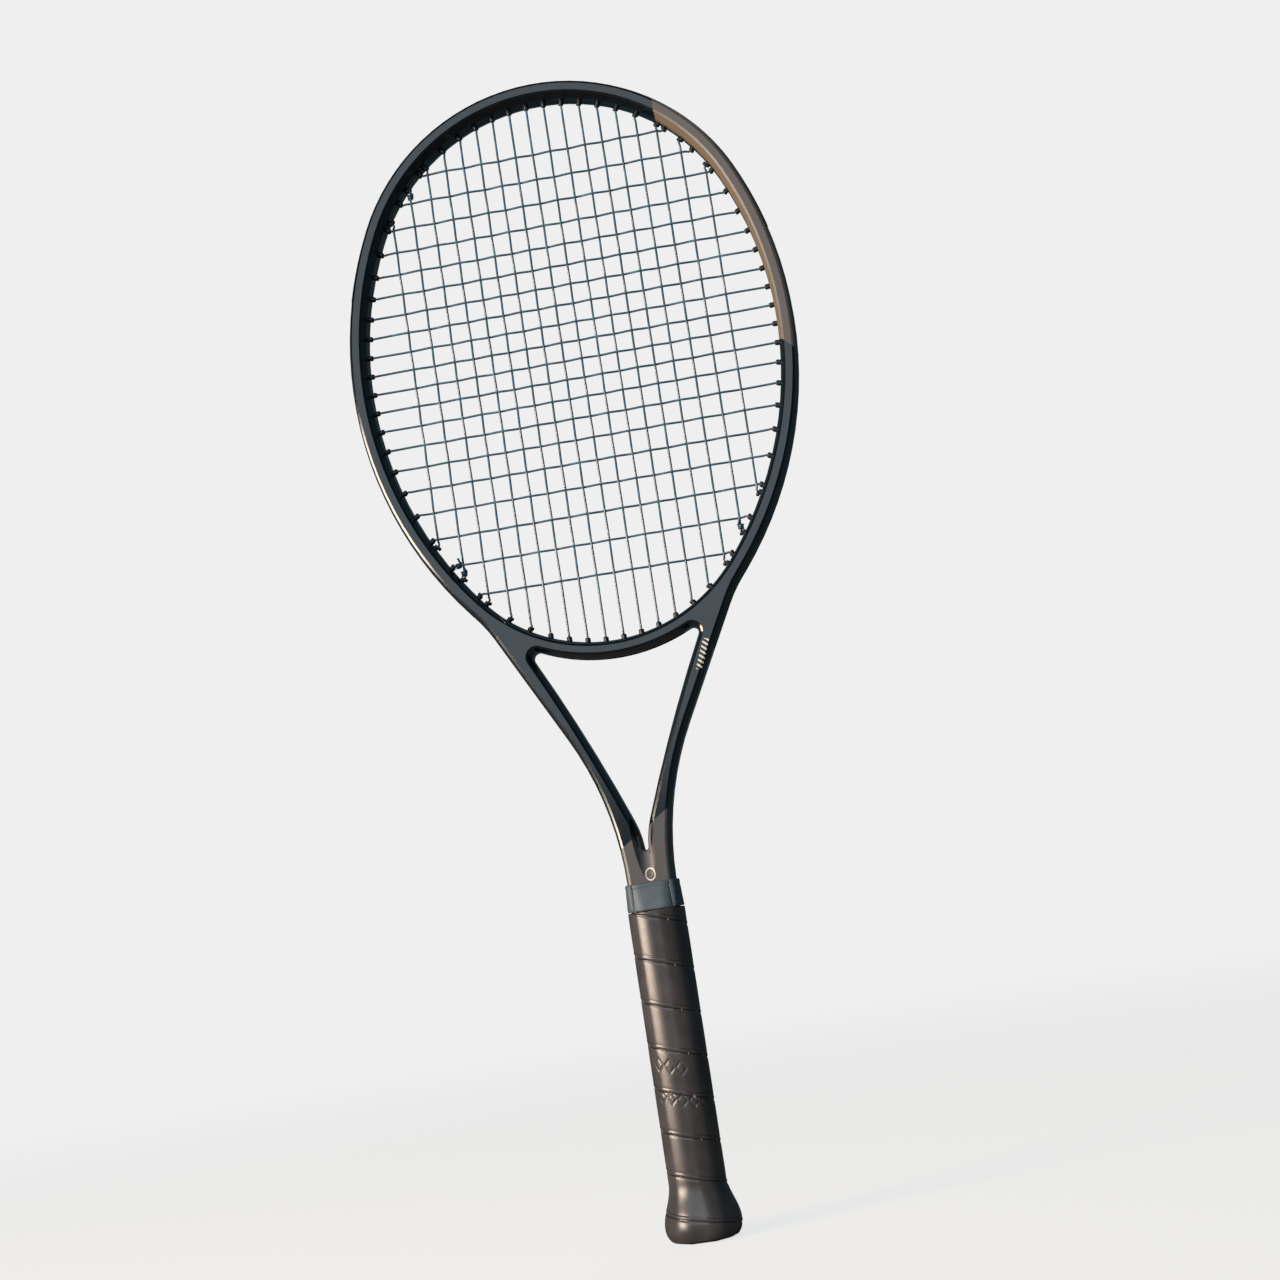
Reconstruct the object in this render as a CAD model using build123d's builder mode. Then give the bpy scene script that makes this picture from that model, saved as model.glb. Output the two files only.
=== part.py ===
from build123d import *
import math
import os

os.makedirs("parts", exist_ok=True)

# Tennis racket, standing on its butt: +Z along the handle to the head, X across
# the face, Y through it. Origin in the middle of the butt's end. Millimetres.

# overall sizes
racket_length = 685.0
beam_depth = 23.0
hoop_width = 10.2
head_half_width = 123.0
top_radius = 113.4
side_radius = 217.4
low_radius = 95.3

# throat and shaft
arm_width = 10.8
arm_lean = 27.7
shaft_width = 27.8
shaft_top = 203.0
shoulder_radius = 190.0
blend_radius = 80.0
bridge_width = 9.8
throat_tip = 221.5
tip_radius = 1.5
tip_lean = 3.0
crotch_radius = 55.0
crotch_sweep = 17.5
pocket_radius = 3.5
scoop_radius = 7.0
scoop_tilt = 12.0

# section of the tube
flat_depth = 9.2
bevel_inset = 1.9
face_bevel = 0.9
tube_wall = 2.0
groove_depth = 2.4
groove_width = 5.6
groove_foot = 331.0

# strings and grommets
string_dia = 1.28
main_pitch = 10.65
main_spread = 0.33
main_even = 4
mains_per_side = 9
cross_pitch = 11.3
cross_middle = 520.4
cross_spread_up = 0.0184
cross_spread_down = 0.0330
crosses_per_half = 10
bridge_mains = 4
strip_reach = 41.0
barrel_dia = 3.2
barrel_bore = 1.9
barrel_gap = 0.1
nub_length = 2.0
mouth_lead = 0.75
strip_thickness = 0.7
weave_lift = 1.46
lane_offset = 1.45
lane_entry = 3.2
string_bend = 1.3
corner_reach = 0.8
lane_step = 7.0
string_gap = 0.15

# bumper guard
guard_foot = 572.5
guard_depth = 16.8
guard_thickness = 1.8
guard_proud = 0.3

# handle
core_width = 24.6
core_depth = 18.6
core_foot = 12.0
core_top = 187.0
core_corner = 5.2
core_bore_width = 8.0
core_bore_depth = 12.4
core_web = 1.6
pallet_width = 30.2
pallet_depth = 26.6
pallet_foot = 7.0
pallet_corner = 7.6
cap_height = 36.0
cap_wall = 1.7
grip_thickness = 1.5
grip_foot = 1.2
flare_out = 5.4
flare_height = 33.0
flare_peak = 9.0
door_dia = 22.0
door_thickness = 2.2
door_gap = 0.3
door_recess = 0.4
door_skirt = 4.4
cap_floor = 3.0
butt_round = 6.5
knot_wire = 1.3
knot_pitch = 1.1
staple_wire = 1.1
staple_width = 9.0
staple_leg = 3.4
staple_height = 26.0

# collar
collar_height = 15.7
collar_lip = 3.5
collar_wall = 0.9
collar_gap = 0.3

collar_foot = core_top + collar_gap
collar_top = collar_foot + collar_height
half_beam = beam_depth / 2
half_shaft = shaft_width / 2

# The rim of the string hole is four tangent arcs: one on top, one below, and two
# long ones for the sides, whose centres lie past the middle line.
rim_top = racket_length - guard_proud - hoop_width
side_shift = side_radius - head_half_width
top_rise = math.sqrt((head_half_width - top_radius) * (2 * side_shift + head_half_width - top_radius))
low_drop = math.sqrt((head_half_width - low_radius) * (2 * side_shift + head_half_width - low_radius))
top_centre = rim_top - top_radius
side_centre = top_centre - top_rise
low_centre = side_centre - low_drop
rim_low = low_centre - low_radius
top_sweep = math.degrees(math.atan2(side_shift, top_rise))
low_sweep = math.degrees(math.atan2(side_shift, low_drop))
side_sweep = 180 - top_sweep - low_sweep


def draw_rim(grow):
    """Four tangent arcs, the rim moved outwards by grow."""
    CenterArc((0, top_centre), top_radius + grow, 90 - top_sweep, 2 * top_sweep)
    CenterArc((side_shift, side_centre), side_radius + grow, 90 + top_sweep, side_sweep)
    CenterArc((0, low_centre), low_radius + grow, 270 - low_sweep, 2 * low_sweep)
    CenterArc((-side_shift, side_centre), side_radius + grow, low_sweep - 90, side_sweep)


def octagon(width, depth, corner):
    """Outline of the handle: a rectangle with its corners cut off."""
    w, d = width / 2, depth / 2
    Polygon((w, corner - d), (w, d - corner), (w - corner, d), (corner - w, d),
            (-w, d - corner), (-w, corner - d), (corner - w, -d), (w - corner, -d))


# The outer edge of the arms: up the shaft, out along an arc, then straight.
lean = math.radians(arm_lean)
bend_x = half_shaft + shoulder_radius * (1 - math.cos(lean))
bend_z = shaft_top + shoulder_radius * math.sin(lean)
arm_end_z = low_centre - low_radius * 0.7
arm_end_x = bend_x + (arm_end_z - bend_z) * math.tan(lean)
inner_end_x = arm_end_x - arm_width / math.cos(lean)

with BuildSketch(Plane.XZ) as rim_face:
    with BuildLine():
        draw_rim(0)
    make_face()

with BuildSketch(Plane.XZ) as hoop_face:
    with BuildLine():
        draw_rim(hoop_width)
    make_face()

with BuildSketch(Plane.XZ) as bridge_face:
    with BuildLine():
        draw_rim(bridge_width)
    make_face()

with BuildSketch(Plane.XZ) as outline:
    add(hoop_face.sketch)
    with BuildLine():
        foot = Line((0, core_top), (half_shaft, core_top))
        shaft_side = Line(foot @ 1, (half_shaft, shaft_top))
        shoulder = JernArc(shaft_side @ 1, (0, 1), shoulder_radius, -arm_lean)
        arm_side = Line(shoulder @ 1, (arm_end_x, arm_end_z))
        Line(arm_side @ 1, (0, arm_end_z))
        mirror(about=Plane.YZ)
    make_face()
    armpits = outline.vertices().filter_by(lambda v: arm_end_z - 25 < v.Y < arm_end_z - 0.5)
    fillet(armpits, blend_radius)

# The bay between the arms, from the crotch up into the string hole. What is left
# of it under the bridge is the throat's opening.
tip_turn = math.radians(tip_lean)
with BuildSketch(Plane.XZ) as bay:
    with BuildLine():
        tip = JernArc((0, throat_tip), (1, 0), tip_radius, 90 - tip_lean)
        crotch = JernArc(tip @ 1, tip % 1, crotch_radius, -crotch_sweep)
        arm_inside = TangentArc(crotch @ 1, (inner_end_x, arm_end_z), tangent=crotch % 1)
        Line(arm_inside @ 1, (0, arm_end_z))
        mirror(about=Plane.YZ)
    make_face()

with BuildSketch(Plane.XZ) as throat:
    add(bay.sketch)
    add(bridge_face.sketch, mode=Mode.SUBTRACT)
    fillet(throat.vertices().sort_by(Axis.Y)[-2:], pocket_radius)

with BuildPart() as whole_frame:
    with BuildSketch(Plane.XZ):
        add(outline.sketch)
        add(rim_face.sketch, mode=Mode.SUBTRACT)
        add(throat.sketch, mode=Mode.SUBTRACT)
    extrude(amount=half_beam, both=True)
    for side in (whole_frame.faces().sort_by(Axis.Y)[0], whole_frame.faces().sort_by(Axis.Y)[-1]):
        rims = side.edges().filter_by(lambda e: e.center().Z > core_top + 1)
        chamfer(rims, length=bevel_inset, length2=half_beam - flat_depth / 2, reference=side)
    # a smaller second bevel leaves the narrow crown of the tube
    for side in (whole_frame.faces().sort_by(Axis.Y)[0], whole_frame.faces().sort_by(Axis.Y)[-1]):
        rims = side.edges().filter_by(lambda e: e.center().Z > core_top + 1)
        chamfer(rims, length=face_bevel * 1.3, length2=face_bevel * 0.7, reference=side)
    # the scooped fork between the arms' ridges, on both faces
    for turn in (1, -1):
        scoop_seat = Plane(origin=(0, -turn * (half_beam + scoop_radius), shaft_top + 2),
                           x_dir=(1, 0, 0), z_dir=(0, turn * math.sin(math.radians(scoop_tilt)),
                                                   math.cos(math.radians(scoop_tilt))))
        with Locations(scoop_seat):
            Cylinder(scoop_radius, 60, align=(Align.CENTER, Align.CENTER, Align.MIN), mode=Mode.SUBTRACT)

# Where each string leaves the hole: the mouth of its grommet, just inside the rim,
# and the way out through the frame, square to the rim.
inset = nub_length + mouth_lead


def rim_normal(centre, radius, x, z):
    """Outward direction at a point on an arc of the rim."""
    return ((x - centre[0]) / radius, (z - centre[1]) / radius)


def main_end(x, on_top):
    """Mouth point and way out for the upright string at x, on the right-hand side."""
    centre, radius = ((0, top_centre), top_radius) if on_top else ((0, low_centre), low_radius)
    sweep = top_sweep if on_top else low_sweep
    way = 1 if on_top else -1
    if x > (radius - inset) * math.sin(math.radians(sweep)):
        centre, radius = (-side_shift, side_centre), side_radius
    z = centre[1] + way * math.sqrt((radius - inset) ** 2 - (x - centre[0]) ** 2)
    return (x, z), rim_normal(centre, radius - inset, x, z)


def bridge_end(x):
    """Mouth point and way out for a string that goes straight down through the bridge."""
    wall_z = low_centre - math.sqrt(low_radius ** 2 - x ** 2)
    return (x, wall_z + inset), (0, -1)


def cross_end(z):
    """Mouth point and way out for the level string at z, on the right-hand side."""
    centre, radius = (-side_shift, side_centre), side_radius
    if z > top_centre + (top_radius - inset) * math.cos(math.radians(top_sweep)):
        centre, radius = (0, top_centre), top_radius
    if z < low_centre - (low_radius - inset) * math.cos(math.radians(low_sweep)):
        centre, radius = (0, low_centre), low_radius
    x = centre[0] + math.sqrt((radius - inset) ** 2 - (z - centre[1]) ** 2)
    return (x, z), rim_normal(centre, radius - inset, x, z)


def main_x(i):
    """Half-space positions of the mains, the outer ones further apart."""
    return main_pitch * (i + 0.5) + main_spread * max(0, i - main_even) ** 2


def cross_z(j):
    """Heights of the crosses, counted from the top."""
    n = j - crosses_per_half + 0.5
    spread = cross_spread_down if n > 0 else cross_spread_up
    return cross_middle - cross_pitch * n - spread * n ** 3


main_xs = [main_x(i) for i in range(mains_per_side)]
cross_zs = [cross_z(j) for j in range(2 * crosses_per_half)]
string_radius = string_dia / 2
lane_depth = groove_depth - strip_thickness - string_gap - string_radius

with BuildSketch(Plane.XZ) as groove_floor:
    offset(outline.sketch, amount=-groove_depth)

with BuildSketch(Plane.XZ) as strip_top:
    offset(outline.sketch, amount=strip_thickness - groove_depth)

with BuildSketch(Plane.XZ) as lane_face:
    offset(outline.sketch, amount=-lane_depth)

with BuildSketch(Plane.XZ) as lane_bridge:
    with BuildLine():
        draw_rim(bridge_width - lane_depth)
    make_face()


def way_out(mouth, way, region):
    """Where a line from the mouth leaves a region."""
    far = 60
    ray = Edge.make_line((mouth[0], 0, mouth[1]), (mouth[0] + far * way[0], 0, mouth[1] + far * way[1]))
    inside = region.sketch.intersect(ray)
    ends = [v for e in inside for v in e.vertices()]
    return max(((v.X, v.Z) for v in ends), key=lambda p: math.dist(p, mouth))


def place_end(mouth, way, through_bridge=False):
    """One string end: mouth, way out, and the point in the groove outside."""
    region = lane_bridge if through_bridge else lane_face
    return {"mouth": mouth, "way": way, "exit": way_out(mouth, way, region)}


def mirrored(end):
    """The same string end on the left-hand side."""
    return {"mouth": (-end["mouth"][0], end["mouth"][1]), "way": (-end["way"][0], end["way"][1]),
            "exit": (-end["exit"][0], end["exit"][1])}


tops_right = [place_end(*main_end(x, True)) for x in main_xs]
foots_right = [place_end(*bridge_end(x), through_bridge=True) for x in main_xs[:bridge_mains]]
foots_right += [place_end(*main_end(x, False)) for x in main_xs[bridge_mains:]]
sides_right = [place_end(*cross_end(z)) for z in cross_zs]
tops = [mirrored(e) for e in reversed(tops_right)] + tops_right
foots = [mirrored(e) for e in reversed(foots_right)] + foots_right
sides_left = [mirrored(e) for e in sides_right]
hoop_ends = tops + sides_left + sides_right + foots[:mains_per_side - bridge_mains]
hoop_ends += foots[mains_per_side + bridge_mains:]
bridge_ends = foots[mains_per_side - bridge_mains:mains_per_side + bridge_mains]


def seat(end, back=0.0):
    """Plane at a string's mouth, pointing out through the frame."""
    x, z = end["mouth"]
    dx, dz = end["way"]
    return Plane(origin=(x - back * dx, 0, z - back * dz), x_dir=(0, 1, 0), z_dir=(dx, 0, dz))


def length_out(end):
    """Length from the mouth to the string's lane outside."""
    return math.dist(end["mouth"], end["exit"])


with BuildSketch(Plane.XZ) as guard_floor:
    offset(outline.sketch, amount=-guard_thickness)

# the moulded hairpin: hoop, arms and the upper shaft, with the cavity of the tube
with BuildPart() as hairpin:
    add(whole_frame.part)
    with BuildSketch(Plane.XZ):
        add(bay.sketch)
    extrude(amount=beam_depth, both=True, mode=Mode.SUBTRACT)
    # string groove round the outside, down to the foot of the arms' long grommets
    with BuildSketch(Plane.XZ):
        with Locations((0, groove_foot)):
            Rectangle(racket_length, racket_length, align=(Align.CENTER, Align.MIN))
        add(groove_floor.sketch, mode=Mode.SUBTRACT)
    extrude(amount=groove_width / 2, both=True, mode=Mode.SUBTRACT)
    # seat of the bumper guard
    with BuildSketch(Plane.XZ):
        with Locations((0, guard_foot)):
            Rectangle(racket_length, racket_length, align=(Align.CENTER, Align.MIN))
        add(guard_floor.sketch, mode=Mode.SUBTRACT)
    extrude(amount=guard_depth / 2, both=True, mode=Mode.SUBTRACT)
    # cavity
    with BuildSketch(Plane.XZ) as cavity:
        offset(outline.sketch, amount=-groove_depth - tube_wall * 0.8)
        with BuildSketch(Plane.XZ, mode=Mode.SUBTRACT):
            with BuildLine():
                draw_rim(tube_wall)
            make_face()
        with BuildSketch(Plane.XZ, mode=Mode.SUBTRACT):
            offset(bay.sketch, amount=tube_wall)
        Rectangle(2 * tube_wall, racket_length, align=(Align.CENTER, Align.MIN), mode=Mode.SUBTRACT)
    extrude(amount=half_beam - 3, both=True, mode=Mode.SUBTRACT)
    for end in hoop_ends:
        with Locations(seat(end, back=1)):
            Cylinder(barrel_dia / 2 + barrel_gap, length_out(end) + 8,
                     align=(Align.CENTER, Align.CENTER, Align.MIN), mode=Mode.SUBTRACT)
    # the legs run on down inside the handle, slimmer than the shaft
    with BuildSketch(Plane.XY.offset(core_foot)):
        octagon(core_width, core_depth, core_corner)
    extrude(amount=core_top - core_foot)
    with BuildSketch(Plane.XY.offset(core_foot)):
        with GridLocations(core_bore_width + core_web, 0, 2, 1):
            Rectangle(core_bore_width, core_bore_depth)
    extrude(amount=core_top - core_foot + tube_wall, mode=Mode.SUBTRACT)

with BuildPart() as bridge:
    add(whole_frame.part)
    with BuildSketch(Plane.XZ):
        add(bay.sketch)
    extrude(amount=beam_depth, both=True, mode=Mode.INTERSECT)
    # groove under the bridge for its grommet strip
    with BuildSketch(Plane.XZ):
        with BuildLine():
            draw_rim(bridge_width + 5)
        make_face()
        with BuildSketch(Plane.XZ, mode=Mode.SUBTRACT):
            with BuildLine():
                draw_rim(bridge_width - groove_depth)
            make_face()
        Rectangle(2 * strip_reach, racket_length, align=(Align.CENTER, Align.MIN), mode=Mode.INTERSECT)
    extrude(amount=groove_width / 2, both=True, mode=Mode.SUBTRACT)
    for end in foots:
        with Locations(seat(end, back=1)):
            Cylinder(barrel_dia / 2 + barrel_gap, length_out(end) + 8,
                     align=(Align.CENTER, Align.CENTER, Align.MIN), mode=Mode.SUBTRACT)


def add_barrels(ends):
    """Grommet tubes from just past the mouth out to the strip in the groove."""
    for end in ends:
        with Locations(seat(end, back=-mouth_lead)):
            Cylinder(barrel_dia / 2, length_out(end) - mouth_lead - string_radius - string_gap,
                     align=(Align.CENTER, Align.CENTER, Align.MIN))


def bore_barrels(ends):
    """String bores through tubes and strip."""
    for end in ends:
        with Locations(seat(end, back=1)):
            Cylinder(barrel_bore / 2, length_out(end) + 6,
                     align=(Align.CENTER, Align.CENTER, Align.MIN), mode=Mode.SUBTRACT)


strip_half = groove_width / 2 - barrel_gap
guard_ends = [e for e in hoop_ends if e["exit"][1] > guard_foot]
strip_ends = [e for e in hoop_ends if e["exit"][1] <= guard_foot]

with BuildPart() as bumper_guard:
    with BuildSketch(Plane.XZ):
        offset(outline.sketch, amount=guard_proud)
        add(guard_floor.sketch, mode=Mode.SUBTRACT)
        with Locations((0, guard_foot + barrel_gap)):
            Rectangle(racket_length, racket_length, align=(Align.CENTER, Align.MIN), mode=Mode.INTERSECT)
    extrude(amount=guard_depth / 2 - barrel_gap, both=True)
    for side in (bumper_guard.faces().sort_by(Axis.Y)[0], bumper_guard.faces().sort_by(Axis.Y)[-1]):
        outer_edges = side.edges().filter_by(GeomType.CIRCLE).filter_by(
            lambda e: any(abs(e.radius - r - hoop_width - guard_proud) < 0.05 for r in (top_radius, side_radius)))
        chamfer(outer_edges, length=bevel_inset * 0.75, length2=(guard_depth - flat_depth) / 2, reference=side)
    with BuildSketch(Plane.XZ):
        offset(outline.sketch, amount=guard_proud + 1)
        add(strip_top.sketch, mode=Mode.SUBTRACT)
    extrude(amount=strip_half - 0.2, both=True, mode=Mode.SUBTRACT)
    with BuildSketch(Plane.XZ):
        add(strip_top.sketch)
        add(groove_floor.sketch, mode=Mode.SUBTRACT)
        with Locations((0, guard_foot + barrel_gap)):
            Rectangle(racket_length, racket_length, align=(Align.CENTER, Align.MIN), mode=Mode.INTERSECT)
    extrude(amount=strip_half, both=True)
    add_barrels(guard_ends)
    bore_barrels(guard_ends)


def side_strip(hand):
    """Strip in the groove from the guard's end to the foot of the groove, on one side."""
    ends = [e for e in strip_ends if e["exit"][0] * hand > 0]
    with BuildPart() as strip:
        with BuildSketch(Plane.XZ):
            add(strip_top.sketch)
            add(groove_floor.sketch, mode=Mode.SUBTRACT)
            with Locations((hand * racket_length / 2, (guard_foot + groove_foot) / 2)):
                Rectangle(racket_length, guard_foot - groove_foot - 2 * barrel_gap, mode=Mode.INTERSECT)
        extrude(amount=strip_half, both=True)
        add_barrels(ends)
        bore_barrels(ends)
    return strip.part


with BuildPart() as grommets_left:
    add(side_strip(-1))
with BuildPart() as grommets_right:
    add(side_strip(1))

with BuildPart() as grommets_bridge:
    with BuildSketch(Plane.XZ):
        with BuildLine():
            draw_rim(bridge_width - groove_depth + strip_thickness)
        make_face()
        with BuildSketch(Plane.XZ, mode=Mode.SUBTRACT):
            with BuildLine():
                draw_rim(bridge_width - groove_depth)
            make_face()
        Rectangle(2 * strip_reach - 2 * barrel_gap, low_centre * 2, mode=Mode.INTERSECT)
    extrude(amount=strip_half, both=True)
    add_barrels(bridge_ends)
    bore_barrels(bridge_ends)


# Strings. Each is one length: through a grommet, across the hole, out through the
# next grommet and along the groove to the one after it.

def lane_points(start, stop, boundary, side):
    """Points along the groove between two exits, moved to one side of its middle."""
    a = boundary.param_at_point(Vector(start[0], 0, start[1])) * boundary.length
    b = boundary.param_at_point(Vector(stop[0], 0, stop[1])) * boundary.length
    way = 1 if b > a else -1
    if abs(b - a) > boundary.length / 2:
        way = -way
    span = min(abs(b - a), boundary.length - abs(b - a))
    run = span - 2 * lane_entry
    steps = max(1, math.ceil(run / lane_step))
    places = [a + way * (lane_entry + run * k / steps) for k in range(steps + 1)]
    spots = [boundary.position_at((p / boundary.length) % 1) for p in places]
    return [(start[0], 0, start[1])] + [(p.X, side, p.Z) for p in spots] + [(stop[0], 0, stop[1])]


def string_route(points):
    """Straight runs joined by tangent arcs, drawn into the open BuildLine."""
    spots = [Vector(*p) for p in points]
    here = spots[0]
    for before, corner, after in zip(spots, spots[1:], spots[2:]):
        u = (corner - before).normalized()
        v = (after - corner).normalized()
        half_turn = math.radians(u.get_angle(v)) / 2
        if half_turn < 0.002:
            continue
        reach = max(string_bend * math.tan(half_turn), corner_reach)
        reach = min(reach, 0.45 * (corner - before).length, 0.45 * (after - corner).length)
        radius = reach / math.tan(half_turn)
        middle = corner + (v - u).normalized() * (radius / math.cos(half_turn) - radius)
        Line(here, corner - u * reach)
        ThreePointArc(corner - u * reach, middle, corner + v * reach)
        here = corner + v * reach
    Line(here, spots[-1])


def string_solid(points):
    """One string of round section along its route."""
    with BuildPart() as cord:
        with BuildLine() as route:
            string_route(points)
        with BuildSketch(Plane(origin=route.line @ 0, z_dir=route.line % 0)):
            Circle(string_radius)
        sweep()
    return cord.part


lane_rim = lane_face.sketch.faces()[0].outer_wire()
lane_under = lane_bridge.sketch.faces()[0].outer_wire()

main_points = []
for k in range(2 * mains_per_side):
    ends = [foots[k], tops[k]] if k % 2 == 0 else [tops[k], foots[k]]
    across = [(e["mouth"][0], 0, e["mouth"][1]) for e in ends]
    main_points += across
    if k < 2 * mains_per_side - 1:
        last, following = ends[1], (tops if k % 2 == 0 else foots)[k + 1]
        under = ends[1] in bridge_ends
        main_points += lane_points(last["exit"], following["exit"], lane_under if under else lane_rim,
                                   -lane_offset)
first, final = foots[0], foots[-1]
main_points = [(first["exit"][0], 0, first["exit"][1])] + main_points + [(final["exit"][0], 0, final["exit"][1])]

cross_points = []
for j, z in enumerate(cross_zs):
    ends = [sides_left[j], sides_right[j]] if j % 2 == 0 else [sides_right[j], sides_left[j]]
    way = 1 if j % 2 == 0 else -1
    reach = sides_right[j]["mouth"][0]
    crossings = [(x, k) for k, x in enumerate([-x for x in reversed(main_xs)] + main_xs) if abs(x) < reach]
    weave = [(x, weave_lift * (-1) ** (j + k), z) for x, k in crossings][::way]
    start, stop = ends[0]["mouth"], ends[1]["mouth"]
    cross_points += [(start[0], 0, start[1])] + weave + [(stop[0], 0, stop[1])]
    if j < len(cross_zs) - 1:
        following = (sides_right if j % 2 == 0 else sides_left)[j + 1]
        cross_points += lane_points(ends[1]["exit"], following["exit"], lane_rim, lane_offset)
cross_points = [(sides_left[0]["exit"][0], 0, sides_left[0]["exit"][1])] + cross_points
cross_points += [(sides_left[-1]["exit"][0], 0, sides_left[-1]["exit"][1])]

with BuildPart() as main_string:
    add(string_solid(main_points))

with BuildPart() as cross_string:
    add(string_solid(cross_points))


def knot(mouth, inward):
    """Tie-off knot: two turns round a string, just inside its grommet."""
    axis = (inward - mouth).normalized()
    first_turn = corner_reach + knot_wire
    with BuildPart() as turns:
        for k in range(2):
            with Locations(Plane(origin=mouth + axis * (first_turn + k * knot_pitch), z_dir=axis)):
                Torus(string_radius + knot_wire / 2 + barrel_gap, knot_wire / 2)
    return turns.part


def mouth_of(end):
    """The mouth of a grommet as a point in space."""
    return Vector(end["mouth"][0], 0, end["mouth"][1])


low_left, low_right, high_left = mouth_of(foots[1]), mouth_of(foots[-2]), mouth_of(tops[1])
cross_left = mouth_of(sides_left[-2])
cross_next = Vector(-main_xs[-2], weave_lift * (-1) ** (len(cross_zs) - 1), cross_left.Z)

with BuildPart() as knot_low_left:
    add(knot(low_left, high_left))
with BuildPart() as knot_low_right:
    add(knot(low_right, mouth_of(tops[-2])))
with BuildPart() as knot_high_left:
    add(knot(high_left, low_left))
with BuildPart() as knot_cross_left:
    add(knot(cross_left, cross_next))


# Handle. The two foam pallets close round the legs of the hairpin; the butt cap
# pushes over their stepped foot, and the grip covers both.
handle_levels = [0.8, 2.2, 4.2, 6.5, flare_peak]
handle_levels += [flare_peak + (flare_height - flare_peak) * k / 7 for k in range(1, 8)]


def flare(z):
    """How far the handle's surface stands outside its straight part, at height z."""
    if z >= flare_height:
        return 0.0
    if z >= flare_peak:
        share = (flare_height - z) / (flare_height - flare_peak)
        return flare_out * (1 - math.cos(math.pi * share)) / 2
    share = (flare_peak - z) / flare_peak
    return flare_out - butt_round * (1 - math.sqrt(1 - min(share, 1) ** 2))


def handle_solid(grow, low, high):
    """Solid that follows the flared handle, its surface moved outwards by grow."""
    levels = [low] + [z for z in handle_levels if low + 0.4 < z < high - 0.4] + [high]
    with BuildPart() as shaped:
        for z in levels:
            out = flare(z) + grow
            with BuildSketch(Plane.XY.offset(z)):
                octagon(pallet_width + 2 * out, pallet_depth + 2 * out, pallet_corner + 0.6 * out)
        loft(ruled=True)
    return shaped.part


def staple(hand):
    """Wire staple, its crown flush with the cap and its legs in a pallet."""
    seat_plane = Plane(origin=(0, hand * pallet_depth / 2, staple_height), x_dir=(1, 0, 0),
                       z_dir=(0, -hand, 0))
    with BuildPart() as wire:
        with BuildSketch(seat_plane):
            Rectangle(staple_width, staple_wire)
        extrude(amount=staple_wire)
        with BuildSketch(seat_plane):
            with GridLocations(staple_width - staple_wire, 0, 2, 1):
                Rectangle(staple_wire, staple_wire)
        extrude(amount=staple_leg)
    return wire.part


with BuildPart() as staple_front:
    add(staple(-1))
with BuildPart() as staple_back:
    add(staple(1))

cap_inside = (pallet_width - 2 * cap_wall, pallet_depth - 2 * cap_wall, pallet_corner - 0.6 * cap_wall)


def pallet(keep, gap):
    """One foam half of the handle, split through the middle of the beam."""
    with BuildPart() as half:
        with BuildSketch(Plane.XY.offset(pallet_foot)):
            octagon(*cap_inside)
        extrude(amount=cap_height - pallet_foot)
        with BuildSketch(Plane.XY.offset(cap_height)):
            octagon(pallet_width, pallet_depth, pallet_corner)
        extrude(amount=core_top - cap_height)
        with BuildSketch(Plane.XY.offset(pallet_foot)):
            octagon(core_width + 2 * barrel_gap, core_depth + 2 * barrel_gap, core_corner)
        extrude(amount=core_top - pallet_foot, mode=Mode.SUBTRACT)
        add(staple_front.part, mode=Mode.SUBTRACT)
        add(staple_back.part, mode=Mode.SUBTRACT)
        split(bisect_by=Plane.XZ.offset(gap), keep=keep)
    return half.part


with BuildPart() as pallet_front:
    add(pallet(Keep.TOP, barrel_gap / 2))
with BuildPart() as pallet_back:
    add(pallet(Keep.BOTTOM, -barrel_gap / 2))

with BuildPart() as butt_cap:
    add(handle_solid(0, 0, cap_height))
    with BuildSketch(Plane.XY.offset(cap_floor)):
        octagon(*cap_inside)
    extrude(amount=cap_height, mode=Mode.SUBTRACT)
    Cylinder(door_dia / 2 + door_gap, 2 * cap_floor, mode=Mode.SUBTRACT)
    add(staple_front.part, mode=Mode.SUBTRACT)
    add(staple_back.part, mode=Mode.SUBTRACT)

with BuildPart() as butt_door:
    with Locations((0, 0, door_recess)):
        Cylinder(door_dia / 2, door_thickness, align=(Align.CENTER, Align.CENTER, Align.MIN))
        Cylinder(door_dia / 2 - 1, door_skirt, align=(Align.CENTER, Align.CENTER, Align.MIN))
    with Locations((0, 0, door_recess + door_thickness)):
        Cylinder(door_dia / 2 - 2.4, door_skirt, align=(Align.CENTER, Align.CENTER, Align.MIN),
                 mode=Mode.SUBTRACT)
    fillet(butt_door.edges().group_by(Axis.Z)[0], 0.5)

with BuildPart() as grip:
    add(handle_solid(grip_thickness, grip_foot, core_top))
    add(handle_solid(0, 0, core_top + 1), mode=Mode.SUBTRACT)

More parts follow.
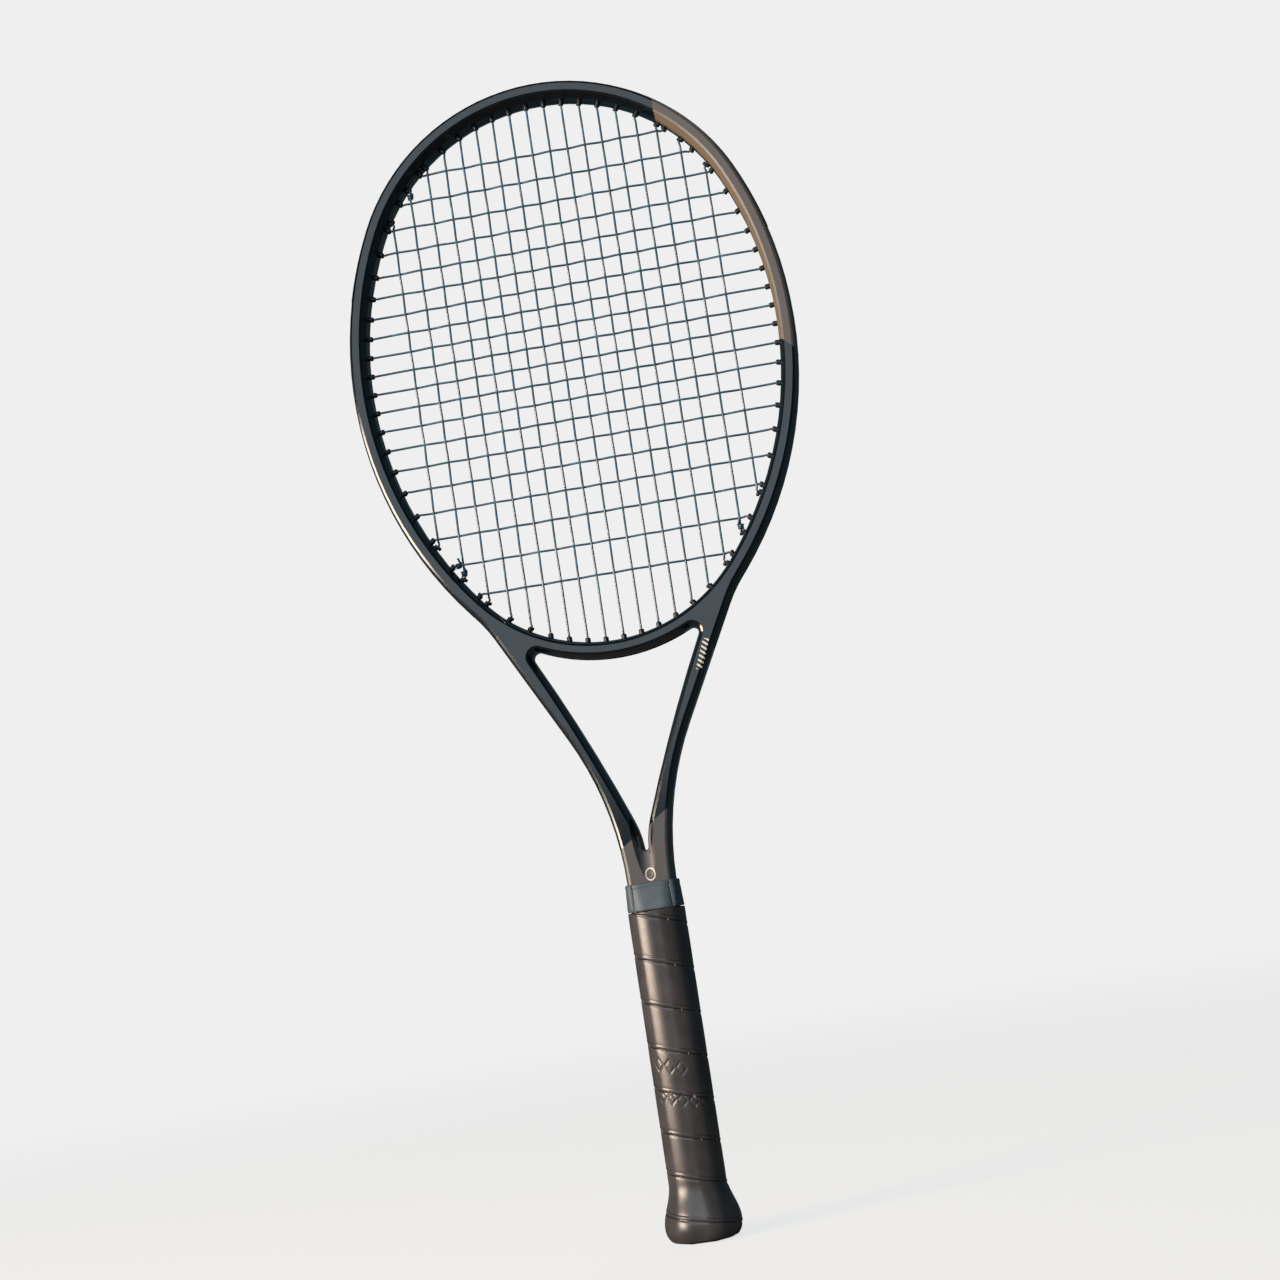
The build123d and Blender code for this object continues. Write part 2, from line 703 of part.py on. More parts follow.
# rubber collar over the top of the grip, free to be pushed up the shaft
collar_hole = (shaft_width + 2 * collar_gap, beam_depth + 2 * collar_gap)
lip_foot = collar_top - collar_lip
with BuildPart() as collar:
    with BuildSketch(Plane.XY.offset(collar_foot)):
        octagon(pallet_width + 2 * grip_thickness - 0.6, pallet_depth + 2 * grip_thickness - 0.6,
                pallet_corner)
    with BuildSketch(Plane.XY.offset(lip_foot)):
        octagon(collar_hole[0] + 3.2 * collar_wall, collar_hole[1] + 3.2 * collar_wall, bevel_inset * 2.2)
    loft(ruled=True)
    with BuildSketch(Plane.XY.offset(lip_foot)):
        octagon(collar_hole[0] + 2 * collar_wall, collar_hole[1] + 2 * collar_wall, bevel_inset * 1.8)
    extrude(amount=collar_lip)
    with BuildSketch(Plane.XY.offset(collar_foot)):
        octagon(*collar_hole, bevel_inset * 0.7)
    extrude(amount=collar_top, mode=Mode.SUBTRACT)

hairpin.part.label = "hairpin"
bridge.part.label = "bridge"
bumper_guard.part.label = "bumper_guard"
grommets_left.part.label = "grommets_left"
grommets_right.part.label = "grommets_right"
grommets_bridge.part.label = "grommets_bridge"
main_string.part.label = "main_string"
cross_string.part.label = "cross_string"
knot_low_left.part.label = "knot_low_left"
knot_low_right.part.label = "knot_low_right"
knot_high_left.part.label = "knot_high_left"
knot_cross_left.part.label = "knot_cross_left"
pallet_front.part.label = "pallet_front"
pallet_back.part.label = "pallet_back"
butt_cap.part.label = "butt_cap"
butt_door.part.label = "butt_door"
staple_front.part.label = "staple_front"
staple_back.part.label = "staple_back"
grip.part.label = "grip"
collar.part.label = "collar"

export_step(hairpin.part, "parts/hairpin.step")
export_step(bridge.part, "parts/bridge.step")
export_step(bumper_guard.part, "parts/bumper_guard.step")
export_step(grommets_left.part, "parts/grommets_left.step")
export_step(grommets_right.part, "parts/grommets_right.step")
export_step(grommets_bridge.part, "parts/grommets_bridge.step")
export_step(main_string.part, "parts/main_string.step")
export_step(cross_string.part, "parts/cross_string.step")
export_step(knot_low_left.part, "parts/knot_low_left.step")
export_step(knot_low_right.part, "parts/knot_low_right.step")
export_step(knot_high_left.part, "parts/knot_high_left.step")
export_step(knot_cross_left.part, "parts/knot_cross_left.step")
export_step(pallet_front.part, "parts/pallet_front.step")
export_step(pallet_back.part, "parts/pallet_back.step")
export_step(butt_cap.part, "parts/butt_cap.step")
export_step(butt_door.part, "parts/butt_door.step")
export_step(staple_front.part, "parts/staple_front.step")
export_step(staple_back.part, "parts/staple_back.step")
export_step(grip.part, "parts/grip.step")
export_step(collar.part, "parts/collar.step")
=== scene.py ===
import bpy
import math
from mathutils import Matrix, Vector


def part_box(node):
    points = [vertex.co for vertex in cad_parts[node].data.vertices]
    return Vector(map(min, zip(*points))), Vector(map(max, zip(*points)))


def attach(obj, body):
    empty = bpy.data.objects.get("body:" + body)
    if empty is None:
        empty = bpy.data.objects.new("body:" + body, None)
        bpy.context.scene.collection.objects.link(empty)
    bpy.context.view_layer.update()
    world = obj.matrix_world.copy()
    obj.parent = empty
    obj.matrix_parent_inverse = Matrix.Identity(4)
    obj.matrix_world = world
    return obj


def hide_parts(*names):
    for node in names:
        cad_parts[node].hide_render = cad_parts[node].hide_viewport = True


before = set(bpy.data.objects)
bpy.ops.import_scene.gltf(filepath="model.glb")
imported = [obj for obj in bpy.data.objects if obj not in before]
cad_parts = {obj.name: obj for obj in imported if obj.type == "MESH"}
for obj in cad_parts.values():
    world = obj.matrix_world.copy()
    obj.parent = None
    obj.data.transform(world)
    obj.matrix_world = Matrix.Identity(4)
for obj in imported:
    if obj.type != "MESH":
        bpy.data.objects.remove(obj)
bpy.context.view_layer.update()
print("frame loaded,", len(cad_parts), "nodes")

mm = 0.001
scene = bpy.context.scene
scene.view_settings.view_transform = "Standard"

# Camera: low, in front of the face and a little to its right, rolled so the racket leans.
viewpoint = {"place": (0.1447, -1.2678, 0.1840), "turn": 5.874, "lift": 7.102, "roll": -8.708, "lens": 61.9}
cameraData = bpy.data.cameras.new("camera")
cameraData.lens = viewpoint["lens"]
cameraData.sensor_width = 36
cameraData.dof.use_dof = False
camera = bpy.data.objects.new("camera", cameraData)
scene.collection.objects.link(camera)
camera.matrix_world = (Matrix.Translation(viewpoint["place"])
                       @ Matrix.Rotation(math.radians(viewpoint["turn"]), 4, "Z")
                       @ Matrix.Rotation(math.radians(90 + viewpoint["lift"]), 4, "X")
                       @ Matrix.Rotation(math.radians(viewpoint["roll"]), 4, "Z"))
scene.camera = camera


def linear(hexColour):  # sRGB hex to the linear values a socket takes
    parts = [int(hexColour[k:k + 2], 16) / 255 for k in (1, 3, 5)]
    return [p / 12.92 if p <= 0.04045 else ((p + 0.055) / 1.055) ** 2.4 for p in parts] + [1.0]


def addNode(tree, kind, settings=None, inputs=None):  # an input is a value, or a socket to link from
    node = tree.nodes.new(kind)
    for key, value in (settings or {}).items():
        setattr(node, key, value)
    for key, value in (inputs or {}).items():
        socket = node.inputs[key]
        if isinstance(value, bpy.types.NodeSocket):
            tree.links.new(value, socket)
        else:
            socket.default_value = value
    return node


def startMaterial(name):
    material = bpy.data.materials.new(name)
    material.use_nodes = True
    material.node_tree.nodes.clear()
    return material, material.node_tree


def endMaterial(tree, shader):
    addNode(tree, "ShaderNodeOutputMaterial", inputs={"Surface": shader.outputs[0]})


def calc(tree, operation, first, second=0.0, third=0.0):  # one sum on sockets or numbers
    node = addNode(tree, "ShaderNodeMath", {"operation": operation}, {0: first, 1: second})
    if operation in ("MULTIPLY_ADD", "COMPARE", "SMOOTH_MIN"):
        if isinstance(third, bpy.types.NodeSocket):
            tree.links.new(third, node.inputs[2])
        else:
            node.inputs[2].default_value = third
    return node.outputs[0]


def turnVector(tree, operation, first, second):  # one vector sum, with both of its results
    return addNode(tree, "ShaderNodeVectorMath", {"operation": operation}, {0: first, 1: second}).outputs


def ramp(tree, value, low, high, toLow=0.0, toHigh=1.0):  # soft step between two values
    settings = {"interpolation_type": "SMOOTHSTEP"}
    inputs = {"Value": value, "From Min": low, "From Max": high, "To Min": toLow, "To Max": toHigh}
    return addNode(tree, "ShaderNodeMapRange", settings, inputs).outputs["Result"]


def blendColour(tree, share, first, second):
    node = addNode(tree, "ShaderNodeMix", {"data_type": "RGBA"}, {"Factor": share})
    for key, value in ((6, first), (7, second)):
        if isinstance(value, bpy.types.NodeSocket):
            tree.links.new(value, node.inputs[key])
        else:
            node.inputs[key].default_value = value
    return node.outputs[2]


def objectPlace(tree):  # object coordinates, and each axis in millimetres
    place = addNode(tree, "ShaderNodeTexCoord").outputs["Object"]
    scaled = addNode(tree, "ShaderNodeVectorMath", {"operation": "SCALE"},
                     {0: place, "Scale": 1 / mm}).outputs[0]
    axes = addNode(tree, "ShaderNodeSeparateXYZ", inputs={0: scaled})
    return scaled, axes.outputs[0], axes.outputs[1], axes.outputs[2]


def speckle(tree, place, grain, detail=3.0):  # noise whose grains are about so many millimetres wide
    inputs = {"Vector": place, "Scale": 1 / grain, "Detail": detail, "Roughness": 0.55}
    return addNode(tree, "ShaderNodeTexNoise", inputs=inputs).outputs["Fac"]


# Lacquered carbon: wet-sanded primer and gloss clear coat over the laminate, with
# satin graphite panels masked off on the hoop and below the throat. The gloss shows soft
# reflections, the panels only a sheen.
def lacqueredCarbon():
    look = {"gloss": "#05090D", "glossLow": "#081017", "panelFace": "#5A5350", "panelBevel": "#7A6A56",
            "shaft": "#4B494A", "mark": "#D9D3BF", "glossRough": 0.15, "satinRough": 0.42,
            "hoopMiddle": 517.0,
            "panelFrom": 71.0, "panelFoot": 500.0, "panelSide": 126.7, "panelSlant": 0.95,
            "shaftLine": 232.7, "shaftSlant": 0.65, "edge": 0.3, "bevelSoft": 0.45,
            "barsAt": (50.0, 0, 327.5), "barsLean": 22, "barPitch": 2.7, "barSlant": 0.35,
            "ringAt": (1.0, 207.4), "ringRadius": 2.7, "ringSquash": 0.8}
    material, tree = startMaterial("lacqueredCarbon")
    place, x, y, z = objectPlace(tree)
    facing = ramp(tree, y, 0.2, -0.2)  # 1 on the front half, 0 on the back
    side = calc(tree, "MULTIPLY_ADD", facing, 2.0, -1.0)
    across = calc(tree, "MULTIPLY", x, side)  # the panel is turned about the handle for the back
    pastStart = ramp(tree, across, look["panelFrom"] - look["edge"], look["panelFrom"] + look["edge"])
    footLine = calc(tree, "MULTIPLY_ADD", across, look["panelSlant"], z)
    footAt = look["panelFoot"] + look["panelSlant"] * look["panelSide"]
    pastFoot = ramp(tree, footLine, footAt - look["edge"], footAt + look["edge"])
    panel = calc(tree, "MULTIPLY", pastStart, pastFoot)
    depth = calc(tree, "ABSOLUTE", y)
    onFace = ramp(tree, depth, 10.4, 10.9)
    offFlank = ramp(tree, depth, 8.4, 8.7)
    radial = turnVector(tree, "SUBTRACT", place, (0, 0, look["hoopMiddle"]))[0]
    normal = addNode(tree, "ShaderNodeTexCoord").outputs["Normal"]
    outward = turnVector(tree, "DOT_PRODUCT", radial, normal)["Value"]
    inside = ramp(tree, outward, 8.0, -8.0)
    covered = calc(tree, "MULTIPLY", panel, calc(tree, "MAXIMUM", inside, offFlank))
    shaftEdge = calc(tree, "MULTIPLY_ADD", x, -look["shaftSlant"], z)
    shaft = ramp(tree, shaftEdge, look["shaftLine"] + look["edge"], look["shaftLine"] - look["edge"])

    flow = speckle(tree, place, 14.0)  # slight unevenness of the sprayed colour
    dark = blendColour(tree, ramp(tree, flow, 0.35, 0.7), linear(look["gloss"]), linear(look["glossLow"]))
    panelTone = blendColour(tree, onFace, linear(look["panelBevel"]), linear(look["panelFace"]))
    colour = blendColour(tree, covered, dark, panelTone)
    colour = blendColour(tree, shaft, colour, linear(look["shaft"]))

    # plain marks: slanted bars on one arm, a ring on the shaft
    barFrame = addNode(tree, "ShaderNodeMapping", {"vector_type": "TEXTURE"},
                       {0: place, "Location": look["barsAt"],
                        "Rotation": (0, math.radians(look["barsLean"]), 0)})
    bar = addNode(tree, "ShaderNodeSeparateXYZ", inputs={0: barFrame.outputs[0]})
    barAcross = calc(tree, "ABSOLUTE", bar.outputs[0])
    barAlong = calc(tree, "ABSOLUTE", bar.outputs[2])
    slanted = calc(tree, "MULTIPLY_ADD", bar.outputs[0], look["barSlant"], bar.outputs[2])
    stripes = calc(tree, "FRACT", calc(tree, "DIVIDE", calc(tree, "ADD", slanted, 40.0), look["barPitch"]))
    bars = calc(tree, "MULTIPLY", ramp(tree, barAcross, 1.9, 1.7), ramp(tree, barAlong, 9.3, 9.1))
    bars = calc(tree, "MULTIPLY", bars, ramp(tree, stripes, 0.42, 0.36))
    ringSpot = turnVector(tree, "MULTIPLY", place, (1, 0, look["ringSquash"]))[0]
    ringMiddle = (look["ringAt"][0], 0, look["ringAt"][1] * look["ringSquash"])
    ringFar = turnVector(tree, "DISTANCE", ringSpot, ringMiddle)["Value"]
    ringGap = calc(tree, "ABSOLUTE", calc(tree, "SUBTRACT", ringFar, look["ringRadius"]))
    ring = ramp(tree, ringGap, 0.36, 0.26)
    marks = calc(tree, "MULTIPLY", calc(tree, "MAXIMUM", bars, ring), facing)
    marks = calc(tree, "MULTIPLY", marks, ramp(tree, depth, 7.0, 7.3))
    colour = blendColour(tree, marks, colour, linear(look["mark"]))

    satin = calc(tree, "MAXIMUM", covered, shaft)
    smear = speckle(tree, place, 5.0, 4.0)
    rough = calc(tree, "MULTIPLY_ADD", satin, look["satinRough"] - look["glossRough"], look["glossRough"])
    rough = calc(tree, "MULTIPLY_ADD", calc(tree, "SUBTRACT", smear, 0.5), 0.05, rough)
    soft = addNode(tree, "ShaderNodeBevel", {"samples": 8}, {"Radius": look["bevelSoft"] * mm})
    plain = addNode(tree, "ShaderNodeNewGeometry")
    shown = addNode(tree, "ShaderNodeMix", {"data_type": "VECTOR"},
                    {"Factor": ramp(tree, depth, 11.1, 11.4)})
    tree.links.new(soft.outputs[0], shown.inputs[4])
    tree.links.new(plain.outputs["Normal"], shown.inputs[5])
    shader = addNode(tree, "ShaderNodeBsdfPrincipled",
                     inputs={"Base Color": colour, "Roughness": rough, "IOR": 1.5,
                             "Normal": shown.outputs[1]})
    endMaterial(tree, shader)
    return material


# Moulded nylon 66: fine spark-eroded texture, satin, scuffed paler in patches.
def mouldedNylon():
    look = {"body": "#0D1114", "scuff": "#20262A", "rough": 0.42, "grain": 0.5}
    material, tree = startMaterial("mouldedNylon")
    place = objectPlace(tree)[0]
    scuffs = ramp(tree, speckle(tree, place, 6.0, 6.0), 0.55, 0.72)
    colour = blendColour(tree, scuffs, linear(look["body"]), linear(look["scuff"]))
    rough = calc(tree, "MULTIPLY_ADD", scuffs, 0.16, look["rough"])
    bump = addNode(tree, "ShaderNodeBump", inputs={"Strength": 0.25, "Distance": 0.05 * mm,
                                                   "Height": speckle(tree, place, look["grain"], 2.0)})
    shader = addNode(tree, "ShaderNodeBsdfPrincipled",
                     inputs={"Base Color": colour, "Roughness": rough, "IOR": 1.53,
                             "Normal": bump.outputs[0]})
    endMaterial(tree, shader)
    return material


# Extruded co-polyester monofilament: slate blue, slightly translucent skin with a
# clear gloss, dulled in short lengths where the strings rub.
def polyesterString():
    look = {"body": "#27485A", "rubbed": "#456C7F", "rough": 0.26}
    material, tree = startMaterial("polyesterString")
    place = objectPlace(tree)[0]
    rubbed = ramp(tree, speckle(tree, place, 9.0, 3.0), 0.5, 0.7)
    colour = blendColour(tree, rubbed, linear(look["body"]), linear(look["rubbed"]))
    rough = calc(tree, "MULTIPLY_ADD", rubbed, 0.14, look["rough"])
    bump = addNode(tree, "ShaderNodeBump", inputs={"Strength": 0.12, "Distance": 0.03 * mm,
                                                   "Height": speckle(tree, place, 0.8, 2.0)})
    shader = addNode(tree, "ShaderNodeBsdfPrincipled",
                     inputs={"Base Color": colour, "Roughness": rough, "IOR": 1.57,
                             "Normal": bump.outputs[0],
                             "Coat Weight": 0.4, "Coat Roughness": 0.1})
    endMaterial(tree, shader)
    return material


# Vegetable-tanned leather strip, pressed smooth: deep brown-grey, polished on the
# crown of each turn by the hand, with faint pores and creases; painted shade darkens the seam grooves and
# the lapped edge.
def tannedLeather():
    # the near-black colour is painted shade for the seam grooves and the lapped edge
    look = {"crown": "#464345", "hollow": "#393738", "seamShade": "#121010", "rough": 0.31, "pore": 0.7,
            "crease": 9.0}
    material, tree = startMaterial("tannedLeather")
    place = objectPlace(tree)[0]
    turn = addNode(tree, "ShaderNodeAttribute", {"attribute_name": "turn"}).outputs["Fac"]
    share = calc(tree, "FRACT", turn)
    # painted shade: darker down in each seam groove between turns
    seamShade = calc(tree, "MAXIMUM", ramp(tree, share, 0.026, 0.012), ramp(tree, share, 0.986, 0.998))
    # painted shade: a fine dark line along the step of the lapped edge
    fine = ramp(tree, calc(tree, "ABSOLUTE", calc(tree, "SUBTRACT", share, 0.098)), 0.014, 0.004, 0.0, 0.7)
    patch = ramp(tree, speckle(tree, place, 22.0, 4.0), 0.35, 0.7)
    colour = blendColour(tree, patch, linear(look["hollow"]), linear(look["crown"]))
    colour = blendColour(tree, calc(tree, "MAXIMUM", seamShade, fine), colour, linear(look["seamShade"]))
    stretched = turnVector(tree, "MULTIPLY", place, (1, 1, 2.6))[0]
    creases = speckle(tree, stretched, look["crease"], 5.0)
    pores = addNode(tree, "ShaderNodeTexVoronoi", {"feature": "F1"},
                    {"Vector": place, "Scale": 1 / look["pore"]})
    height = calc(tree, "MULTIPLY_ADD", pores.outputs["Distance"], 0.25, creases)
    rough = calc(tree, "MULTIPLY_ADD", calc(tree, "SUBTRACT", creases, 0.5), 0.12, look["rough"])
    bump = addNode(tree, "ShaderNodeBump", inputs={"Strength": 0.12, "Distance": 0.1 * mm,
                                                   "Height": height})
    shader = addNode(tree, "ShaderNodeBsdfPrincipled",
                     inputs={"Base Color": colour, "Roughness": rough, "IOR": 1.48,
                             "Normal": bump.outputs[0]})
    endMaterial(tree, shader)
    return material


# Silicone rubber, cast in a bead-blasted mould: blue-grey and quite matte.
def castRubber():
    look = {"body": "#46535D", "dust": "#505E68", "rough": 0.5}
    material, tree = startMaterial("castRubber")
    place = objectPlace(tree)[0]
    dust = ramp(tree, speckle(tree, place, 4.0, 5.0), 0.45, 0.75)
    colour = blendColour(tree, dust, linear(look["body"]), linear(look["dust"]))
    rough = calc(tree, "MULTIPLY_ADD", dust, 0.12, look["rough"])
    bump = addNode(tree, "ShaderNodeBump", inputs={"Strength": 0.2, "Distance": 0.06 * mm,
                                                   "Height": speckle(tree, place, 0.5, 2.0)})
    soft = addNode(tree, "ShaderNodeBevel", {"samples": 4}, {"Radius": 0.4 * mm})
    tree.links.new(soft.outputs[0], bump.inputs["Normal"])
    shader = addNode(tree, "ShaderNodeBsdfPrincipled",
                     inputs={"Base Color": colour, "Roughness": rough, "IOR": 1.43,
                             "Normal": bump.outputs[0]})
    endMaterial(tree, shader)
    return material


# Injection-moulded ABS with an etched finish, charcoal, a little shinier on edges.
def mouldedAbs():
    look = {"body": "#17191C", "worn": "#25282B", "rough": 0.46}
    material, tree = startMaterial("mouldedAbs")
    place = objectPlace(tree)[0]
    worn = ramp(tree, speckle(tree, place, 5.0, 5.0), 0.52, 0.75)
    colour = blendColour(tree, worn, linear(look["body"]), linear(look["worn"]))
    rough = calc(tree, "MULTIPLY_ADD", worn, -0.12, look["rough"])
    bump = addNode(tree, "ShaderNodeBump", inputs={"Strength": 0.3, "Distance": 0.06 * mm,
                                                   "Height": speckle(tree, place, 0.45, 2.0)})
    shader = addNode(tree, "ShaderNodeBsdfPrincipled",
                     inputs={"Base Color": colour, "Roughness": rough, "IOR": 1.54,
                             "Normal": bump.outputs[0]})
    endMaterial(tree, shader)
    return material


# Poured polyurethane foam: warm grey, open skin with small bubbles.
def pouredFoam():
    look = {"body": "#77716A", "bubble": "#4D4842", "cell": 1.1}
    material, tree = startMaterial("pouredFoam")
    place = objectPlace(tree)[0]
    cells = addNode(tree, "ShaderNodeTexVoronoi", {"feature": "F1"},
                    {"Vector": place, "Scale": 1 / look["cell"]})
    bubbles = ramp(tree, cells.outputs["Distance"], 0.32, 0.12)
    colour = blendColour(tree, bubbles, linear(look["body"]), linear(look["bubble"]))
    bump = addNode(tree, "ShaderNodeBump", inputs={"Strength": 0.5, "Distance": 0.2 * mm,
                                                   "Height": cells.outputs["Distance"]})
    shader = addNode(tree, "ShaderNodeBsdfPrincipled",
                     inputs={"Base Color": colour, "Roughness": 0.85, "Normal": bump.outputs[0]})
    endMaterial(tree, shader)
    return material


# Galvanised staple wire: drawn steel under zinc, fine marks along its length.
def zincWire():
    look = {"zinc": "#B9BCBE", "spangle": "#9A9EA1", "rough": 0.34}
    material, tree = startMaterial("zincWire")
    place = objectPlace(tree)[0]
    spangle = ramp(tree, speckle(tree, place, 0.9, 4.0), 0.4, 0.65)
    colour = blendColour(tree, spangle, linear(look["zinc"]), linear(look["spangle"]))
    rough = calc(tree, "MULTIPLY_ADD", spangle, 0.12, look["rough"])
    shader = addNode(tree, "ShaderNodeBsdfPrincipled",
                     inputs={"Base Color": colour, "Metallic": 1.0, "Roughness": rough})
    endMaterial(tree, shader)
    return material


paint = lacqueredCarbon()
nylon = mouldedNylon()
stringSkin = polyesterString()
leather = tannedLeather()
rubber = castRubber()
capPlastic = mouldedAbs()
foam = pouredFoam()
zinc = zincWire()

finishes = {paint: ["hairpin", "bridge"],
            nylon: ["bumper_guard", "grommets_left", "grommets_right", "grommets_bridge"],
            stringSkin: ["main_string", "cross_string", "knot_low_left", "knot_low_right", "knot_high_left",
                         "knot_cross_left"],
            leather: ["grip"], rubber: ["collar"], capPlastic: ["butt_cap", "butt_door"],
            foam: ["pallet_front", "pallet_back"], zinc: ["staple_front", "staple_back"]}
for finish, names in finishes.items():
    for name in names:
        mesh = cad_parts[name].data
        mesh.materials.clear()
        mesh.materials.append(finish)
print("materials on")


# Geometry Nodes helpers
def startTree(name, sockets):  # a tree with named inputs, and its group input node
    tree = bpy.data.node_groups.new(name, "GeometryNodeTree")
    tree.interface.new_socket("Geometry", in_out="INPUT", socket_type="NodeSocketGeometry")
    tree.interface.new_socket("Geometry", in_out="OUTPUT", socket_type="NodeSocketGeometry")
    for label, kind in sockets.items():
        tree.interface.new_socket(label, in_out="INPUT", socket_type=kind)
    return tree, addNode(tree, "NodeGroupInput")


def endTree(tree, geometry, material):  # every tree ends in real geometry with its material
    real = addNode(tree, "GeometryNodeRealizeInstances", inputs={"Geometry": geometry})
    done = addNode(tree, "GeometryNodeSetMaterial",
                   inputs={"Geometry": real.outputs[0], "Material": material})
    addNode(tree, "NodeGroupOutput", inputs={"Geometry": done.outputs[0]})


def growPiece(name, host, tree, values):  # runs a tree on a host mesh and keeps the result as a plain mesh
    scene.collection.objects.link(host)
    step = host.modifiers.new(tree.name, "NODES")
    step.node_group = tree
    for item in tree.interface.items_tree:
        if item.item_type == "SOCKET" and item.in_out == "INPUT" and item.name in values:
            step[item.identifier] = values[item.name]
    bpy.context.view_layer.update()
    graph = bpy.context.evaluated_depsgraph_get()
    mesh = bpy.data.meshes.new_from_object(host.evaluated_get(graph), preserve_all_data_layers=True,
                                           depsgraph=graph)
    mesh.name = name
    bpy.data.objects.remove(host)
    piece = bpy.data.objects.new(name, mesh)
    scene.collection.objects.link(piece)
    print(name, len(mesh.polygons), "faces")
    return piece


# The hoop's rule: its inner rim is four tangent arcs, and strings leave it square to them.
hoop = {"halfWidth": 123.0, "topRadius": 113.4, "sideRadius": 217.4, "lowRadius": 95.3, "wall": 10.2,
        "guardProud": 0.3}
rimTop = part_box("bumper_guard")[1].z / mm - hoop["guardProud"] - hoop["wall"]
sideShift = hoop["sideRadius"] - hoop["halfWidth"]


def rise(radius):  # from the widest level to the centre of an end arc
    gap = hoop["halfWidth"] - radius
    return math.sqrt(gap * (2 * sideShift + gap))


topCentre = rimTop - hoop["topRadius"]
sideCentre = topCentre - rise(hoop["topRadius"])
lowCentre = sideCentre - rise(hoop["lowRadius"])
topSweep = math.atan2(sideShift, topCentre - sideCentre)
lowSweep = math.atan2(sideShift, sideCentre - lowCentre)


def rimAtHeight(z, grow):  # x of the rim, moved outwards by grow, and its outward direction
    centre, radius = (-sideShift, sideCentre), hoop["sideRadius"] + grow
    if z > topCentre + (hoop["topRadius"] + grow) * math.cos(topSweep):
        centre, radius = (0, topCentre), hoop["topRadius"] + grow
    if z < lowCentre - (hoop["lowRadius"] + grow) * math.cos(lowSweep):
        centre, radius = (0, lowCentre), hoop["lowRadius"] + grow
    x = centre[0] + math.sqrt(radius ** 2 - (z - centre[1]) ** 2)
    return x, Vector(((x - centre[0]) / radius, 0, (z - centre[1]) / radius))


def rimAtWidth(x, grow, up):  # z of the rim above or below x, and its outward direction
    name, centreZ, sweep = ("topRadius", topCentre, topSweep) if up > 0 else ("lowRadius", lowCentre,
                                                                              lowSweep)
    centre, radius = (0, centreZ), hoop[name] + grow
    if x > radius * math.sin(sweep):
        centre, radius = (-sideShift, sideCentre), hoop["sideRadius"] + grow
    z = centre[1] + up * math.sqrt(radius ** 2 - (x - centre[0]) ** 2)
    return z, Vector(((x - centre[0]) / radius, 0, (z - centre[1]) / radius))


bed = {"mainPitch": 10.65, "mainSpread": 0.33, "mainEven": 4, "mains": 9, "crossPitch": 11.3,
       "crossMiddle": 520.4, "spreadUp": 0.0184, "spreadDown": 0.0330, "crosses": 20, "bridgeMains": 4,
       "mouthInset": 2.75, "nub": 2.0}
mainXs = [bed["mainPitch"] * (i + 0.5) + bed["mainSpread"] * max(0, i - bed["mainEven"]) ** 2
          for i in range(bed["mains"])]


allMainXs = [-x for x in reversed(mainXs)] + mainXs


def crossHeight(j):
    n = j - bed["crosses"] / 2 + 0.5
    return bed["crossMiddle"] - bed["crossPitch"] * n - bed["spreadDown" if n > 0 else "spreadUp"] * n ** 3


crossZs = [crossHeight(j) for j in range(bed["crosses"])]


# Cross string: one length woven over and under the mains, and round the outside of the
# hoop from each grommet to the next.
crossString = {"diameter": 1.28, "lift": 0.67, "laneOut": 9.2, "cornerIn": 0.6, "laneSide": 1.45,
               "step": 1.5, "sides": 10,
               "straight": 2.4, "clear": 3.0}


def flipped(place, hand):
    return Vector((place.x * hand, place.y, place.z))


def crossRoute():
    route = []
    for j, z in enumerate(crossZs):
        hand = 1 if j % 2 == 0 else -1
        reach, way = rimAtHeight(z, -bed["mouthInset"])
        mouth = Vector((reach, 0, z))
        outside = mouth + way * (bed["mouthInset"] + crossString["laneOut"] - crossString["cornerIn"])
        crossed = [(x, k) for k, x in enumerate(allMainXs) if abs(x) < reach - crossString["clear"]]
        woven = [Vector((x, crossString["lift"] * (-1) ** (j + k), z)) for x, k in crossed][::hand]
        if j == 0:
            route.append(flipped(outside, -hand))
        inner = mouth - Vector((crossString["straight"], 0, 0))  # keeps the bend inside the grommet
        route += [flipped(mouth, -hand), flipped(inner, -hand)] + woven
        route += [flipped(inner, hand), flipped(mouth, hand)]
        if j == bed["crosses"] - 1:
            route.append(flipped(outside, hand))
            continue
        nextMouth, nextWay = rimAtHeight(crossZs[j + 1], -bed["mouthInset"])
        nextOut = Vector((nextMouth, 0, crossZs[j + 1])) + nextWay * (
            bed["mouthInset"] + crossString["laneOut"] - crossString["cornerIn"])
        route.append(flipped(outside, hand))
        for share in (0.3, 0.5, 0.7):
            height = outside.z + (nextOut.z - outside.z) * share
            x = rimAtHeight(height, crossString["laneOut"])[0]
            route.append(flipped(Vector((x, crossString["laneSide"], height)), hand))
        route.append(flipped(nextOut, hand))
    return [p * mm for p in route]


